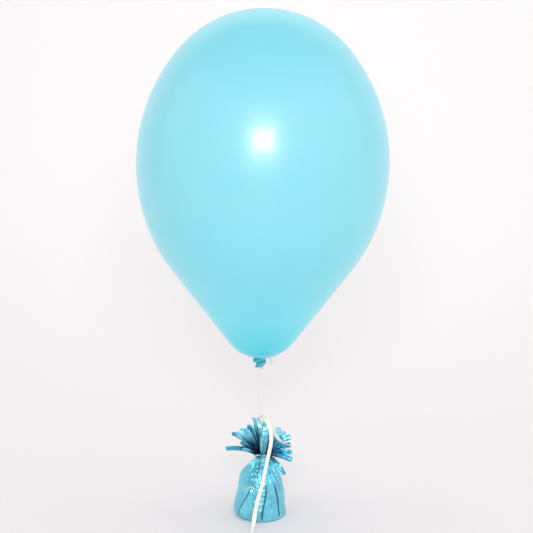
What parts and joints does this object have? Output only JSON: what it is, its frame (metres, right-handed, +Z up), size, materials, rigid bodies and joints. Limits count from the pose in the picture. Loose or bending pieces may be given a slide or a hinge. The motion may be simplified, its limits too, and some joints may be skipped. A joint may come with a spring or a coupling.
{
  "type": "latex balloon on a balloon weight",
  "caption": "Inflated pear-shaped latex balloon with a knotted neck, tied by flat curling ribbon to a foil-wrapped weight with a cut foil fringe.",
  "frame": {"origin": "centre of the weight's base, on the table", "axes": "+Z up through the weight, the ribbon and the balloon; -Y towards the front, where the long ribbon end lies"},
  "size_m": [0.283, 0.283, 0.583],
  "materials": {
    "latex": "satin, slightly see-through latex",
    "latex_gathered": "satin, unstretched latex",
    "foil": "metallised film, satin, crinkled",
    "ribbon": "satin curling ribbon",
    "tie": "smooth",
    "wire": "bright drawn wire",
    "cup_plastic": "smooth",
    "card": "plain card",
    "ballast": "cast, matt"
  },
  "bodies": {
    "weight": {"ballast_slug": "ballast", "ballast_cup": "cup_plastic", "cup_lid": "card", "foil_wrap": "foil", "foil_gather": "foil", "gather_tie": "tie", "fringe_outer": "foil", "fringe_middle": "foil", "fringe_inner": "foil", "hang_loop": "wire", "ribbon_tail_long": "ribbon", "ribbon_tail_short": "ribbon", "ribbon_coil": "ribbon"},
    "ribbon_knot": {"loop_ribbon_knot": "ribbon"},
    "tether": {"tether_ribbon": "ribbon"},
    "tether_top": {"tether_bend": "ribbon"},
    "balloon": {"balloon_skin": "latex", "latex_neck": "latex", "latex_knot": "latex_gathered", "latex_lip": "latex_gathered", "neck_ribbon_turns": "ribbon", "neck_ribbon_knot": "ribbon", "neck_ribbon_end": "ribbon", "neck_ribbon_drop": "ribbon"}
  },
  "joints": [
    {"name": "loop_sway_front", "type": "hinge", "parent": "weight", "child": "ribbon_knot", "pos_m": [0, 0, 0.115], "axis": [1, 0, 0], "range_deg": [-30, 30], "stiffness_Nm_per_rad": 0.4},
    {"name": "tether_sway_side", "type": "hinge", "parent": "ribbon_knot", "child": "tether", "pos_m": [0, 0, 0.1182], "axis": [0, 1, 0], "range_deg": [-30, 30], "stiffness_Nm_per_rad": 0.4},
    {"name": "balloon_nod", "type": "hinge", "parent": "tether", "child": "tether_top", "pos_m": [0, 0, 0.1623], "axis": [1, 0, 0], "range_deg": [-25, 25], "stiffness_Nm_per_rad": 0.3},
    {"name": "balloon_spin", "type": "hinge", "parent": "tether_top", "child": "balloon", "pos_m": [0, 0, 0.174], "axis": [0, 0, 1], "continuous": true}
  ]
}
